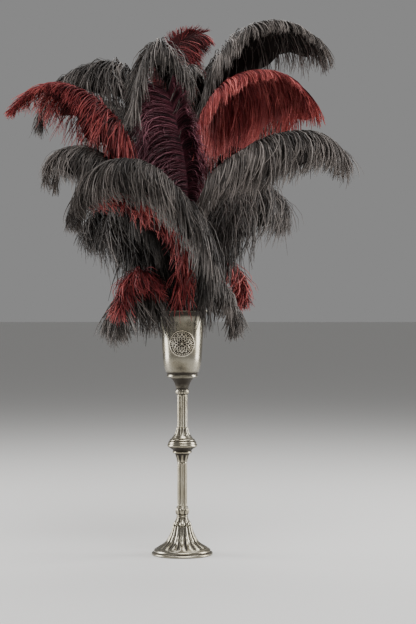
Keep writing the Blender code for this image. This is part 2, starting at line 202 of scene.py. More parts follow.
def smooth_path(points, steps):
    """A smooth curve through the points: one cubic span between each two, on their distances."""
    points = np.array(points, float)
    knots = distances(points)
    slopes = np.gradient(points, knots, axis=0)
    t = np.arange(steps)[:, None] / steps
    path = []
    for i, length in enumerate(np.diff(knots)):
        path.append(
            (1 + 2 * t) * (1 - t) ** 2 * points[i]
            + t * (1 - t) ** 2 * length * slopes[i]
            + t**2 * (3 - 2 * t) * points[i + 1]
            + t**2 * (t - 1) * length * slopes[i + 1]
        )
    return np.vstack([*path, points[-1:]])


def drawn(start, *runs):
    """A profile of (radius, height). Each run is smooth, and turns a corner where the next one goes on."""
    profile = [start]
    for run in runs:
        run = [profile[-1], *run]
        bent = smooth_path(run, PROFILE_STEPS) if len(run) > 2 else np.linspace(*run, PROFILE_STEPS)
        profile.extend(bent[1:])
    return np.array(profile)


def stain_and_painted_shade(profile):
    """How far each point of a profile lies in a recess, for patina, or faces down, for painted shade; or
    under 0, how far it stands out.
    """
    steps = np.diff(profile, axis=0)
    lengths = np.linalg.norm(steps, axis=1)
    turns = np.cross(steps[:-1], steps[1:]) / np.maximum(lengths[:-1] * lengths[1:], SMALLEST)
    turns = np.concatenate([[0], -np.arcsin(np.clip(turns, -1, 1)), [0]])
    places = distances(profile)
    near = np.exp(-((places[:, None] - places[None]) ** 2) / (2 * CREASE_REACH**2))
    under = np.clip(steps[:, 0] / np.maximum(lengths, SMALLEST), 0, 1)
    under = np.concatenate([under[:1], (under[1:] + under[:-1]) / 2, under[-1:]])
    return np.clip(near @ turns, *CREASE_STAIN) + UNDERSIDE_PAINTED_SHADE * under


def quads(*corners):
    """Faces with four corners, from four arrays of points' numbers."""
    return np.stack(corners, axis=-1).reshape(-1, 4).tolist()


# count flutes round, from one height to another, deep as a share of the radius, and stained this much
Flutes = namedtuple("Flutes", "count bottom top deep stained", defaults=(1.0,))


def turned(node, profile, rounds, finish, flutes=()):
    """Spins a profile round the vase's axis, presses its flutes in, and puts it in the node's place."""
    turns = TAU * np.arange(rounds) / rounds
    radii = np.repeat(profile[:, :1], rounds, axis=1)
    heights = np.repeat(profile[:, 1:], rounds, axis=1)
    hollow = np.repeat(stain_and_painted_shade(profile)[:, None], rounds, axis=1)
    for flute in flutes:
        middle, reach = (flute.top + flute.bottom) / 2, (flute.top - flute.bottom) / 2
        fade = np.clip((reach - np.abs(heights - middle)) / FLUTE_FADE + 0.5, 0, 1) * (radii > POLE_RADIUS)
        groove = 1 - np.abs(np.cos(flute.count * turns / 2))
        radii = radii * (1 - flute.deep * fade * groove)
        hollow = hollow + fade * flute.stained * (GROOVE_STAIN * groove**1.6 - RIDGE_WEAR)
    points = np.stack([radii * np.cos(turns), radii * np.sin(turns), heights], axis=2).reshape(-1, 3)
    here = np.arange(len(points)).reshape(radii.shape)
    after = np.roll(here, -1, axis=1)
    faces = quads(here[:-1], after[:-1], after[1:], here[1:])
    return placed(node, points, faces, hollow.ravel(), finish)


def placed(node, points, faces, hollow, finish):
    """A piece of the vase from these points, welded where they meet at its poles, in place of its solid."""
    mesh = bpy.data.meshes.new(node + "_plate")
    mesh.from_pydata(points * MM, [], faces)
    mesh.attributes.new("hollow", "FLOAT", "POINT").data.foreach_set("value", hollow.astype(np.float32))
    piece = linked("silver_" + node, mesh)
    weld = piece.modifiers.new("weld", "WELD")
    weld.merge_threshold = WELD_REACH * MM
    welded = applied(piece)
    welded.materials.clear()
    welded.materials.append(finish)
    welded.shade_smooth()
    welded.set_sharp_from_angle(angle=math.radians(SHARP_ANGLE))
    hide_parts(node)
    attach(piece, "root")
    return piece


plate = silver("antiqued_silver_plate", BRIGHT_PLATE, BROWN_PATINA, roughness=0.24, stained=0.10)

foot_profile = drawn(
    (0, 0),
    [(50.4, 0)],
    [(51, 0.9), (51, 2.0), (50.2, 3.2)],
    [(48.6, 4.0), (47.6, 5.0)],
    [(47.5, 6.4), (46.8, 7.8), (45.6, 8.9)],
    [(44.4, 9.3)],
    [(41.8, 11.5), (33.4, 16.5), (27.4, 21.5), (23.4, 28.2), (21.4, 31.6), (18.0, 39.9), (16.0, 47.6)],
    [(0, 47.6)],
)
gadroons = Flutes(16, bottom=11.2, top=48.6, deep=0.085, stained=0.9)
foot = turned("foot", foot_profile, 256, plate, [gadroons])

# ------------------------------------------------------- the collar and knuckle
# The collar is a cast cap of eight petals whose scalloped lower edge stands free of the bell. The reeded bead
# of the knuckle screws down on it and takes the stem's lower end.
ROUNDS = 160
collar_profile = drawn(
    (0, 47.9),
    [(13.4, 47.9)],
    [(14.9, 48.4), (15.4, 49.8), (14.8, 51.6), (12.6, 54.8), (10.3, 59.0), (9.3, 61.6)],
    [(9.0, 62.4)],
    [(9.5, 63.0), (9.1, 63.6)],
    [(0, 63.6)],
)
scallops = Flutes(8, bottom=46.0, top=52.6, deep=0.17)
petals = Flutes(8, bottom=52.4, top=61.0, deep=0.12)
collar = turned("foot_collar", collar_profile, ROUNDS, plate, [scallops, petals])

knuckle_profile = drawn(
    (0, 63.9),
    [(8.8, 63.9)],
    [(9.4, 64.7), (9.2, 65.7)],
    [(10.8, 67.6), (11.4, 71.7), (10.8, 75.8), (9.3, 77.9)],
    [(9.6, 78.9), (9.0, 79.8)],
    [(0, 80.0)],
)
knuckle_reeds = Flutes(8, bottom=66.2, top=77.6, deep=0.13)
knuckle = turned("stem_knuckle", knuckle_profile, ROUNDS, plate, [knuckle_reeds])

# ------------------------------------------------------------------ the stems
# Two lengths of the same reeded tube, eight ridges round, with plain turned ends where they meet the knop,
# the knuckle and the socket.
STEM_RADIUS = 8.3
STEM_END_RADIUS = 7.7
STEM_END = 1.6
STEM_LENGTHS = 8


def stem_profile(bottom, top):
    """A tube drawn in at both ends. Its side is cut in equal lengths, for the flutes to fade on."""
    heights = np.linspace(bottom + STEM_END, top - STEM_END, STEM_LENGTHS + 1)
    return drawn(
        (0, bottom),
        [(STEM_END_RADIUS, bottom)],
        *[[(STEM_RADIUS, height)] for height in heights],
        [(STEM_END_RADIUS, top)],
        [(0, top)],
    )


for node, bottom, top in (("lower_stem", 80.3, 153.7), ("upper_stem", 211.3, 266.7)):
    stem_reeds = Flutes(8, bottom + 1.4, top - 1.4, deep=0.17, stained=0.7)
    stem = turned(node, stem_profile(bottom, top), ROUNDS, plate, [stem_reeds])

# ------------------------------------------------------------------- the knop
# A cast knop half-way up: a reeded neck and a small disc below, a flange in two steps, and a reeded cone
# above them.
knop_profile = drawn(
    (0, 154),
    [(8.6, 154)],
    [(9.5, 159), (10.9, 164), (12.2, 167.6)],
    [(13.2, 168.4)],
    [(15.8, 169.0), (16.2, 170.6), (15.2, 172.2)],
    [(16.6, 174.2), (20.4, 177.0), (23.6, 179.0)],
    [(24.7, 180.2), (24.9, 182.0), (24.2, 183.8)],
    [(23.6, 184.6)],
    [(23.3, 186.6), (22.2, 188.5)],
    [(20.9, 188.9)],
    [(21.2, 190.2), (20.3, 191.7)],
    [(18.4, 192.6)],
    [(16.9, 194.4), (15.0, 197.2)],
    [(14.4, 198.0)],
    [(12.2, 202.6), (10.5, 207.0), (9.6, 211)],
    [(0, 211)],
)
neck_reeds = Flutes(8, bottom=153.0, top=167.6, deep=0.15)
cone_reeds = Flutes(8, bottom=198.2, top=212.0, deep=0.15)
knop = turned("knop", knop_profile, 192, plate, [neck_reeds, cone_reeds])

# -------------------------------------------------------------- the cup's socket
# A bead over the stem and a plain trumpet that widens under the cup, where it is soldered. Their plate is
# stained darker than the rest, as painted shade under the cup.
socket_profile = drawn(
    (0, 267),
    [(8.8, 267)],
    [(10.7, 267.6), (11.3, 269.6), (11.3, 272.2), (10.5, 274.4)],
    [(10.0, 275.4)],
    [(10.6, 278.0), (12.0, 282.4), (14.1, 287.2), (16.6, 290.8), (20.4, 294.9)],
    [(0, 294.9)],
)
# painted shade: the same plate stained darker, for the shade under the cup
painted_shade_plate = silver("painted_shade_silver_plate", BRIGHT_PLATE, BROWN_PATINA, roughness=0.24, stained=0.24)
bead_flutes = Flutes(16, bottom=268.2, top=273.8, deep=0.03)
socket = turned("cup_socket", socket_profile, ROUNDS, painted_shade_plate, [bead_flutes])

# --------------------------------------------------------------------- the cup
# A spun cup with a bright band at its base, a wall that widens slowly and a lip that is turned out. It is
# open, and the quills stand on its floor.
cup_outside = [
    (25.9, 302), (27.5, 304.6), (29.7, 311), (31.2, 318), (32.2, 325), (32.9, 335.5),
    (34.4, 359), (35.6, 380), (37.2, 393), (40.2, 400.6), (44.8, 404.4), (50.6, 405.1),
]
cup_inside = [
    (45.0, 405.9), (39.2, 402.8), (35.2, 393.4), (33.6, 380), (32.4, 359), (30.8, 335.5),
    (30.2, 325), (29.2, 318), (27.6, 311.4), (25, 306.6), (20, 305),
]
cup_profile = drawn(
    (0, 295.2),
    [(24.6, 295.2)],
    [(25.7, 296.0), (25.9, 297.8), (25.5, 299.4)],
    [(25.0, 300.4)],
    cup_outside,
    [(51, 405.5), (51, 406.1), (50.4, 406.5)],
    cup_inside,
    [(0, 305)],
)
cup_plate = silver("cup_silver_plate", (0.30, 0.28, 0.228), BROWN_PATINA, roughness=0.22, stained=0.10)
cup = turned("cup", cup_profile, ROUNDS, cup_plate)

# --------------------------------------------------------------- the medallion
# A cast round plaque, bent to the cup and soldered to its front. Its ornament is a traditional one of beads,
# crossing ribbons and a rosette, black in its ground and rubbed bright on top.
RELIEF_RADIUS = 22.4
RELIEF_HEIGHT = 352.0
ROSETTE_EDGE = 7.3
RIBBONS_EDGE = 16.3
BEAD_RING = 18.2
BEADS = 36
BORDER_RING = 21.2
RIBBON_WAVES = 7
PETALS = 8
LEAVES = 12
SOLDER = 0.1
PLAQUE, RELIEF, BORDER = 0.75, 0.9, 1.1  # the ground's thickness, and how far the rest rises over it
RELIEF_ROUNDS = 240
rings = np.concatenate([np.linspace(0.4, 17.6, 60), np.linspace(17.8, RELIEF_RADIUS, 22)])
radius, turn = np.meshgrid(rings, TAU * np.arange(RELIEF_ROUNDS) / RELIEF_ROUNDS, indexing="ij")


def bump_at(distance, width):
    """A half-round ridge of this width where the distance is 0."""
    return np.sqrt(np.clip(1 - (2 * distance / width) ** 2, 0, 1))


ribbons = np.maximum(
    bump_at(np.sin(RIBBON_WAVES * turn + 0.5 * radius), 1.0),
    0.8 * bump_at(np.sin(RIBBON_WAVES * turn - 0.5 * radius), 1.0),
)
leaves = bump_at(radius - 12.6 - 1.6 * np.cos(LEAVES * turn), 1.7)
ribbons = np.maximum(0.75 * ribbons, leaves)
rays = 0.7 * bump_at(np.sin(PETALS / 2 * turn), 0.6) * (radius < 4.6)
rosette = bump_at(radius - 4.2 - 2.0 * np.cos(PETALS * turn), 1.8) + rays
past_bead = BEAD_RING * (np.mod(turn * BEADS / TAU, 1) - 0.5) * TAU / BEADS
beads = 0.9 * bump_at(np.hypot(radius - BEAD_RING, past_bead), 2.6)
border = bump_at(radius - BORDER_RING, 2.2)
field = np.where(radius < ROSETTE_EDGE, rosette, np.where(radius < RIBBONS_EDGE, ribbons, beads))
for ring in (RIBBONS_EDGE, ROSETTE_EDGE):
    field = np.maximum(field, bump_at(radius - ring, 0.9) * 0.8)
field = np.where(radius < 1.8, bump_at(radius, 3.6) * 1.2, field)
rise = PLAQUE + RELIEF * np.clip(field, 0, 1.2) + BORDER * border
rise = rise * np.clip((RELIEF_RADIUS - radius) / 0.5, 0.0, 1) ** 0.5 + 0.02
outline = np.array(cup_outside)


def on_cup(radius, turn, rise):
    """Points at a distance from the plaque's middle, laid round the cup's wall."""
    heights = RELIEF_HEIGHT + radius * np.sin(turn)
    reach = np.interp(heights, outline[:, 1], outline[:, 0]) + SOLDER + rise
    swing = radius * np.cos(turn) / reach
    return np.stack([reach * np.sin(swing), -reach * np.cos(swing), heights], axis=-1).reshape(-1, 3)


front = np.arange(radius.size).reshape(radius.shape)
back = front + radius.size
front_after, back_after = np.roll(front, -1, axis=1), np.roll(back, -1, axis=1)
faces = [
    *quads(front[:-1], front[1:], front_after[1:], front_after[:-1]),
    front[0].tolist(),
    *quads(back_after[:-1], back_after[1:], back[1:], back[:-1]),
    back[0, ::-1].tolist(),
    *quads(front_after[-1], front[-1], back[-1], back_after[-1]),
]
ground_stain = np.clip(0.95 - 1.25 * np.maximum(np.clip(field, 0, 1), border), -0.2, 1)
relief = silver("medallion_silver_plate", (0.52, 0.48, 0.40), BLACK_PATINA, roughness=0.26, stained=0.08)
medallion = placed(
    "medallion",
    np.vstack([on_cup(radius, turn, rise), on_cup(radius, turn, 0 * rise)]),
    faces,
    np.concatenate([ground_stain.ravel(), np.ones(radius.size)]),
    relief,
)

# ------------------------------------------------------------- the front plumes
# An ostrich plume is one long quill with soft barbs down both sides, which hang over like a fountain. These
# are dyed black, dark red and plum, and they stand loose in the cup. The three in front were put in last.
QUILL_RADIUS = 1.9
TIP_RADIUS = 0.48
QUILL_FOOT = 308.0
QUILL_RING = 22.0
QUILL_PLACES = 23
FIRST_PLACE = -65.0
FIRST_SEED = 500
MOUTH_HEIGHT = 410.5
PATH_STEPS = 24  # points on each span of a shaft's path
TANGENT_REACH = 6.0  # how far to either side a shaft's direction is read
ARCHED = (0.6, 0.7, 0.8, 0.9)  # shares of a shaft's length where it arches
FACING = (0, -0.2, 1)  # up and a little to the front, where the arch's back looks
SHAFT_POINTS = 64
SHAFT_SHADE = 0.45

BARB_WIDTH = 2.2
BARB_LIFT = 0.25  # how steeply a barb rises off the shaft before it droops
BARB_ANGLES = (72.0, 30.0)  # from the shaft, at the vane's start and at its tip
BEND = 0.4  # under 1, a barb bends mostly near the shaft
TIP_STIFFNESS = 0.35
USUAL_FRIZZ = 0.16
CROWDING = 0.8  # under 1, barbs stand closer towards the tip
CLUMP = 4.5  # the length of shaft that a clump of barbs takes up
CLUMP_LENGTHS = (0.90, 1.09)
CLUMP_SWAY = 0.08
CLUMP_TONE = 0.13
BARB_LENGTHS = (0.90, 1.04)
BARB_TONE = 0.15
SHORT_BARBS = 0.14  # the share of barbs that are broken short
SHORT_LENGTHS = (0.35, 0.8)
ANGLE_SPREAD = 0.09
LIFT_SPREAD = (-0.15, 0.4)
FALL_SPREAD = 0.035
DROOP_SPREAD = 0.05
LOCK_POINT = 0.12  # how fast barbs shorten towards the sides of a lock
LOCK_GATHER = 0.22
CLUMP_GATHER = 0.7
LEAST_GATHERED = 20.0
STRAND_STEP = 7.3  # barbs take their fine streaks of colour this far apart

# The sheet inside each half of a vane, painted as the shade between the barbs
SHEET_COLUMNS = 36
SHEET_ROWS = 5
SHEET_ENDS = (0.01, 0.985)
SHEET_LIFT = 0.35
SHEET_RAGGED = 0.15
HALF_SHEET = 0.25
FAR_STRAND = 1000

DOWN = np.array((0.0, 0.0, -1.0))
LEVEL = (1, 1, 0)
SHAFT = -1
SHADE_SHEET = -2

# place: which of the ring's places holds the quill, counted from the front towards +X
# lean: the quill's distance from the axis where it leaves the cup
# bare: length of bare shaft between the cup's mouth and the vane
# shaft: points that the shaft passes after the cup's mouth
# side: direction in degrees that the near half of the vane faces, with -90 at the viewer
# near, far: barb lengths of the two halves, at even steps from the vane's start to its tip. In 15 plumes
# some are longer than in the solid, mostly inside the bouquet, where barbs mingle and solids may not
# barbs, locks: how many barbs the near and the far half have, and in how many locks each half gathers
# droop: how fully the barbs of the near and far half hang down by their ends
# sweep: how far the near and the far barbs trail towards the plume's tip, at the vane's start and at its tip
# twist: degrees by which the near half has turned at the tip
# steps, frizz, curl: the spans in a barb, how crooked it is, and how far its end curls in
# tone: how much lighter the plume's colour is set, and shaded: how much darker it is painted at the vane's
# start as painted shade inside the bouquet, and where that ends
# down, reach: the tone of the sheet inside the vane, near-black painted shade between the barbs on most
# plumes and a lighter filler in the barbs' colour on right_red, and how far it reaches along the near and the
# far barbs
Plume = namedtuple(
    "Plume",
    "name place lean bare shaft side near far"
    " barbs locks droop sweep twist steps frizz curl tone shaded down reach",
    defaults=((1, 1), (0, 0, 0, 0), 0, 5, USUAL_FRIZZ, 0.5, 0.0, (0.3, 0.5), -0.05, (0.65, 0.65)),
)


def unit(vectors):
    return vectors / np.linalg.norm(vectors, axis=-1, keepdims=True)


class Shaft:
    """The shaft's curve, read at distances from the quill's cut end."""

    def __init__(self, plume):
        angle = math.radians(FIRST_PLACE + 360 * plume.place / QUILL_PLACES)
        foot = (QUILL_RING * math.cos(angle), QUILL_RING * math.sin(angle), QUILL_FOOT)
        mouth = (plume.lean * math.cos(angle), plume.lean * math.sin(angle), MOUTH_HEIGHT)
        self.path = smooth_path([foot, mouth] + plume.shaft, PATH_STEPS)
        self.runs = distances(self.path)
        self.length = self.runs[-1]
        self.start = math.dist(foot, mouth) + plume.bare
        self.vane = self.length - self.start
        self.side, self.twist = plume.side, plume.twist
        self.crest_sign = 1
        crests = self.frames(self.length * np.array(ARCHED))[3]
        if crests.sum(axis=0) @ FACING < 0:
            self.crest_sign = -1

    def shares(self, runs):
        """How far along the vane these distances are: 0 up to its start and 1 at its tip."""
        return np.clip((runs - self.start) / self.vane, 0, 1)

    def points(self, runs):
        return np.stack([np.interp(runs, self.runs, self.path[:, axis]) for axis in range(3)], axis=-1)

    def frames(self, runs):
        """Points, directions of growth, near sides and the crest's directions."""
        ahead = np.minimum(runs + TANGENT_REACH, self.length)
        behind = np.maximum(runs - TANGENT_REACH, 0)
        tangents = unit(self.points(ahead) - self.points(behind))
        facing = np.radians(self.side + self.twist * self.shares(runs) ** 2)
        sides = np.stack([np.cos(facing), np.sin(facing), 0 * facing], axis=-1)
        nears = unit(sides - np.sum(sides * tangents, axis=1, keepdims=True) * tangents)
        return self.points(runs), tangents, nears, np.cross(nears, tangents) * self.crest_sign


WAVES = (5.0, 11.0)  # radians of waviness along a barb
ANY_PHASE = (0.0, 6.3)
WAVE_SHARE = 0.7
ANY_WAY = ((-1.0, -1.0, -1.0), (1.0, 1.0, 1.0))
CURLS = (0.3, 1.7)
THINNING = 0.7  # the share of its width that a barb loses by its tip
WIDTHS = (0.7, 1.25)
FLATNESS = 0.45


def barb_tree():
    """The tree that grows a barb on each loose point of a mesh, and the shaft on its chain of edges."""
    tree = bpy.data.node_groups.new("grow_barbs", "GeometryNodeTree")
    tree.interface.new_socket("Geometry", in_out="INPUT", socket_type="NodeSocketGeometry")
    given = {"Steps": "Int", "Width": "Float", "Frizz": "Float", "Curl": "Float", "Seed": "Int"}
    given["Material"] = "Material"
    for name, kind in given.items():
        tree.interface.new_socket(name, in_out="INPUT", socket_type="NodeSocket" + kind)
    tree.interface.new_socket("Geometry", in_out="OUTPUT", socket_type="NodeSocketGeometry")
    grow = Wired(tree)
    sockets = tree.nodes.new("NodeGroupInput").outputs
    mesh, steps, width, frizz, curl, seed, material = [Wired(tree, sockets[i]) for i in range(len(given) + 1)]

    def named(name, kind):
        return grow.node("GeometryNodeInputNamedAttribute", {"data_type": kind}, {"Name": name})

    def store(geometry, name, kind, value):
        inputs = {"Geometry": geometry, "Name": name, "Value": value}
        return grow.node("GeometryNodeStoreNamedAttribute", {"data_type": kind, "domain": "POINT"}, inputs)

    def random(low, high, shift):
        """A draw for each barb, the same at all its points."""
        kind = "FLOAT_VECTOR" if isinstance(low, tuple) else "FLOAT"
        lowest, highest, out = {"FLOAT_VECTOR": (0, 1, 0), "FLOAT": (2, 3, 1)}[kind]
        inputs = {lowest: low, highest: high, "ID": named("barb", "INT"), "Seed": seed + shift}
        return grow.node("FunctionNodeRandomValue", {"data_type": kind}, inputs, out=out)

    def numbered(operation, number):
        """Where the barb's number compares so with this one."""
        inputs = {2: named("barb", "INT"), 3: number}
        return grow.node("FunctionNodeCompare", {"data_type": "INT", "operation": operation}, inputs)

    def circle(corners):
        inputs = {"Resolution": corners, "Radius": 1.0}
        return grow.node("GeometryNodeCurvePrimitiveCircle", {"mode": "RADIUS"}, inputs)

    def tube(curve, profile, scale):
        inputs = {"Curve": curve, "Profile Curve": profile, "Scale": scale, "Fill Caps": True}
        return grow.node("GeometryNodeCurveToMesh", {}, inputs)

    rooted = store(mesh, "root", "FLOAT_VECTOR", grow.node("GeometryNodeInputPosition"))
    ends = {"Start": (0, 0, 0), "End": (0, 0, 1)}
    line = grow.node("GeometryNodeCurvePrimitiveLine", {"mode": "POINTS"}, ends)
    line = grow.node("GeometryNodeResampleCurve", {"mode": "COUNT"}, {"Curve": line, "Count": steps + 1})
    inputs = {"Points": rooted, "Selection": numbered("GREATER_EQUAL", 0), "Instance": line}
    barbs = grow.node("GeometryNodeInstanceOnPoints", {}, inputs)
    barbs = grow.node("GeometryNodeRealizeInstances", {}, {0: barbs})

    place = grow.node("GeometryNodeSplineParameter", out="Index")
    share = (place + 0.5) / steps
    weight = named("droop", "FLOAT") * share**BEND
    phase = share * random(*WAVES, 1) + random(*ANY_PHASE, 2)
    wave = grow.node("ShaderNodeMath", {"operation": "SINE"}, {0: phase})
    kinks = random(*ANY_WAY, 3) * share
    kinks = (kinks + random(*ANY_WAY, 4) * (wave * WAVE_SHARE)) * frizz
    hook = named("inward", "FLOAT_VECTOR") * (share**2.0 * curl * random(*CURLS, 5))
    heading = named("start", "FLOAT_VECTOR") * (1.0 - weight) + named("fall", "FLOAT_VECTOR") * weight
    heading = grow.node("ShaderNodeVectorMath", {"operation": "NORMALIZE"}, {0: heading + kinks + hook})
    travelled = grow.node(
        "GeometryNodeAccumulateField",
        {"data_type": "FLOAT_VECTOR", "domain": "POINT"},
        {"Value": heading * (named("length", "FLOAT") / steps), "Group ID": named("barb", "INT")},
        out="Trailing",
    )
    inputs = {"Geometry": barbs, "Position": named("root", "FLOAT_VECTOR") + travelled}
    barbs = grow.node("GeometryNodeSetPosition", {}, inputs)
    along = place / steps
    barbs = store(barbs, "along", "FLOAT", along)
    taper = (1.0 - along**5.0 * THINNING) * random(*WIDTHS, 6)
    flat = grow.node("GeometryNodeTransform", {}, {"Geometry": circle(3), "Scale": (1.0, FLATNESS, 1.0)})
    barbs = tube(barbs, flat, width * 0.5 * taper)

    shaft = grow.node("GeometryNodeMeshToCurve", {}, {"Mesh": mesh, "Selection": numbered("EQUAL", SHAFT)})
    shaft = tube(shaft, circle(8), named("thickness", "FLOAT"))
    # The sheets of painted shade pass through as they are
    inputs = {0: mesh, 1: numbered("EQUAL", SHADE_SHEET)}
    down = grow.node("GeometryNodeSeparateGeometry", {"domain": "POINT"}, inputs)
    joined = tree.nodes.new("GeometryNodeJoinGeometry")
    for grown in (shaft, barbs, down):
        tree.links.new(grown.socket, joined.inputs[0])
    inputs = {"Geometry": Wired(tree, joined.outputs[0]), "Material": material}
    plume = grow.node("GeometryNodeSetMaterial", {}, inputs)
    tree.links.new(plume.socket, tree.nodes.new("NodeGroupOutput").inputs[0])
    return tree


grow_barbs = barb_tree()


def half_of_vane(plume, shaft, half, share):
    """What the barbs and the down start from at these shares of one side of the vane."""
    points, tangents, nears, crests = shaft.frames(shaft.start + share * shaft.vane)
    outward = -nears if half else nears
    angle = np.radians(BARB_ANGLES[0] + (BARB_ANGLES[1] - BARB_ANGLES[0]) * share**1.3)
    lengths = (plume.near, plume.far)[half]
    length = np.interp(share, np.linspace(0, 1, len(lengths)), lengths)
    trail = np.interp(share, (0, 1), plume.sweep[2 * half : 2 * half + 2])
    fall = DOWN + tangents * LEVEL * trail[:, None]
    droop = plume.droop[half] * (1 - TIP_STIFFNESS * share**3)
    return points, tangents, outward, crests, angle, length, fall, droop


def in_shade(plume, share):
    """Painted shade: how much darker the colour is painted at these shares of the vane, where they lie inside
    the bouquet.
    """
    depth, end = plume.shaded
    return depth * np.clip(1 - share / end, 0, 1)


def half_of_barbs(plume, shaft, half, rng):
    """The barbs down one side. They cling in small clumps, and the clumps gather a little in locks."""
    count = plume.barbs[half]
    loose = plume.frizz / USUAL_FRIZZ
    share = ((np.arange(count) + rng.random(count)) / count) ** CROWDING
    points, tangents, outward, crests, angle, length, fall, droop = half_of_vane(plume, shaft, half, share)
    across = share * plume.locks - np.floor(share * plume.locks) - 0.5
    clumps = int(shaft.vane / CLUMP)
    clump = np.minimum(np.floor(share * clumps).astype(int), clumps - 1)
    aside = share * clumps - clump - 0.5
    clump_length = rng.uniform(*CLUMP_LENGTHS, clumps)[clump]
    clump_sway = rng.normal(0, CLUMP_SWAY * loose, (clumps, 3))[clump]
    clump_tone = rng.normal(0, CLUMP_TONE, clumps)[clump]
    length = length * (1.02 - LOCK_POINT * np.abs(across)) * clump_length * rng.uniform(*BARB_LENGTHS, count)
    short = rng.random(count) < SHORT_BARBS
    length = np.where(short, length * rng.uniform(*SHORT_LENGTHS, count), length)
    angle = angle + rng.normal(0, ANGLE_SPREAD * loose, count)
    lift = BARB_LIFT + loose * rng.uniform(*LIFT_SPREAD, count)
    start = np.cos(angle)[:, None] * tangents + np.sin(angle)[:, None] * outward + lift[:, None] * crests
    gather = across * LOCK_GATHER * shaft.vane / plume.locks + aside * CLUMP_GATHER * shaft.vane / clumps
    gather = -gather / np.maximum(length, LEAST_GATHERED)
    fall = fall + tangents * LEVEL * gather[:, None] + clump_sway
    fall = fall + rng.normal(0, FALL_SPREAD * loose, (count, 3))
    late = share[:, None]
    droop = np.clip(droop * (1 + rng.normal(0, DROOP_SPREAD, count)), 0, 1)
    # painted shade: barbs near the vane's start are darkened for the shade inside the bouquet
    shade = plume.tone - in_shade(plume, share) + rng.normal(0.5, BARB_TONE, count) + clump_tone
    return {
        "point": points,
        "start": unit(start),
        "fall": unit(fall),
        "inward": -0.7 * outward - tangents * LEVEL * (0.3 + late) - 0.3 * late * DOWN,
        "length": length * MM,
        "droop": droop,
        "shade": np.clip(shade, 0, 1),
    }


def shade_sheet(plume, shaft, half, rng):
    """A thin closed sheet inside one side of the vane, short of the barbs' tips: painted shade between the
    barbs.
    """
    columns, rows, reach = SHEET_COLUMNS, SHEET_ROWS, plume.reach[half]
    share = np.linspace(*SHEET_ENDS, columns)
    points, tangents, outward, crests, angle, length, fall, droop = half_of_vane(plume, shaft, half, share)
    length = length * (reach + rng.uniform(-SHEET_RAGGED, SHEET_RAGGED, columns) * (1.5 - reach))
    start = unit(np.cos(angle)[:, None] * tangents + np.sin(angle)[:, None] * outward + SHEET_LIFT * crests)
    fall = unit(fall)
    grid = [points]
    for row in range(rows):
        weight = (droop * ((row + 0.5) / rows) ** BEND)[:, None]
        grid.append(grid[-1] + unit(start * (1 - weight) + fall * weight) * (length / rows)[:, None])
    grid = np.array(grid)
    normals = unit(np.cross(np.gradient(grid, axis=0), np.gradient(grid, axis=1)))
    both = np.concatenate([grid + HALF_SHEET * normals, grid - HALF_SHEET * normals]).reshape(-1, 3)
    front = np.arange((rows + 1) * columns).reshape(rows + 1, columns)
    back = front + front.size
    both_sides = zip(
        quads(front[:-1, :-1], front[1:, :-1], front[1:, 1:], front[:-1, 1:]),
        quads(back[:-1, 1:], back[1:, 1:], back[1:, :-1], back[:-1, :-1]),
    )
    faces = [quad for pair in both_sides for quad in pair]
    rim = np.concatenate([front[0], front[1:, -1], front[-1, -2::-1], front[-2:0:-1, 0]])
    onward = np.roll(rim, -1)
    faces += quads(rim, onward, onward + front.size, rim + front.size)
    along = np.repeat(np.linspace(0, 1, rows + 1), columns)
    strand = share * shaft.vane + FAR_STRAND * half
    shade = plume.down - in_shade(plume, share)
    return (both, np.tile(along, 2), np.tile(strand, 2 * rows + 2), np.tile(shade, 2 * rows + 2)), faces


def seeds(plume, shaft):
    """The mesh a plume grows on: a loose point for each barb, the shaft's chain and the sheets of painted
    shade.
    """
    rng = np.random.default_rng(FIRST_SEED + plume.place)
    halves = [half_of_barbs(plume, shaft, half, rng) for half in (0, 1)]
    barbs = {key: np.concatenate([half[key] for half in halves]) for key in halves[0]}
    count = len(barbs["point"])
    runs = np.linspace(0, shaft.length, SHAFT_POINTS)
    thickness = QUILL_RADIUS + (TIP_RADIUS - QUILL_RADIUS) * shaft.shares(runs) ** 0.7

    nowhere = np.zeros(SHAFT_POINTS)
    blocks = [
        (barbs["point"], np.zeros(count), STRAND_STEP * np.arange(count), barbs["shade"]),
        (shaft.points(runs), nowhere, nowhere, np.full(SHAFT_POINTS, SHAFT_SHADE)),
    ]
    faces = []
    for half in (0, 1):
        first = sum(len(block[0]) for block in blocks)
        block, sheet_faces = shade_sheet(plume, shaft, half, rng)
        faces += [[first + corner for corner in face] for face in sheet_faces]
        blocks.append(block)
    points, along, strand, shade = (np.concatenate(parts) for parts in zip(*blocks))
    sheet_count = len(points) - count - SHAFT_POINTS

    mesh = bpy.data.meshes.new(plume.name)
    edges = [(count + i, count + i + 1) for i in range(SHAFT_POINTS - 1)]
    mesh.from_pydata(points * MM, edges, faces)
    others = SHAFT_POINTS + sheet_count
    for name in ("start", "fall", "inward"):
        values = np.vstack([barbs[name], np.zeros((others, 3))])
        mesh.attributes.new(name, "FLOAT_VECTOR", "POINT").data.foreach_set("vector", values.ravel())
    floats = {
        "length": np.concatenate([barbs["length"], np.zeros(others)]),
        "droop": np.concatenate([barbs["droop"], np.zeros(others)]),
        "shade": shade,
        "thickness": np.concatenate([np.zeros(count), thickness * MM, np.zeros(sheet_count)]),
        "along": along,
        "strand": strand,
    }
    for name, values in floats.items():
        mesh.attributes.new(name, "FLOAT", "POINT").data.foreach_set("value", values.astype(np.float32))
    numbers = np.concatenate([np.arange(count), np.full(SHAFT_POINTS, SHAFT), np.full(sheet_count, SHADE_SHEET)])
    mesh.attributes.new("barb", "INT", "POINT").data.foreach_set("value", numbers.astype(np.int32))
    return mesh


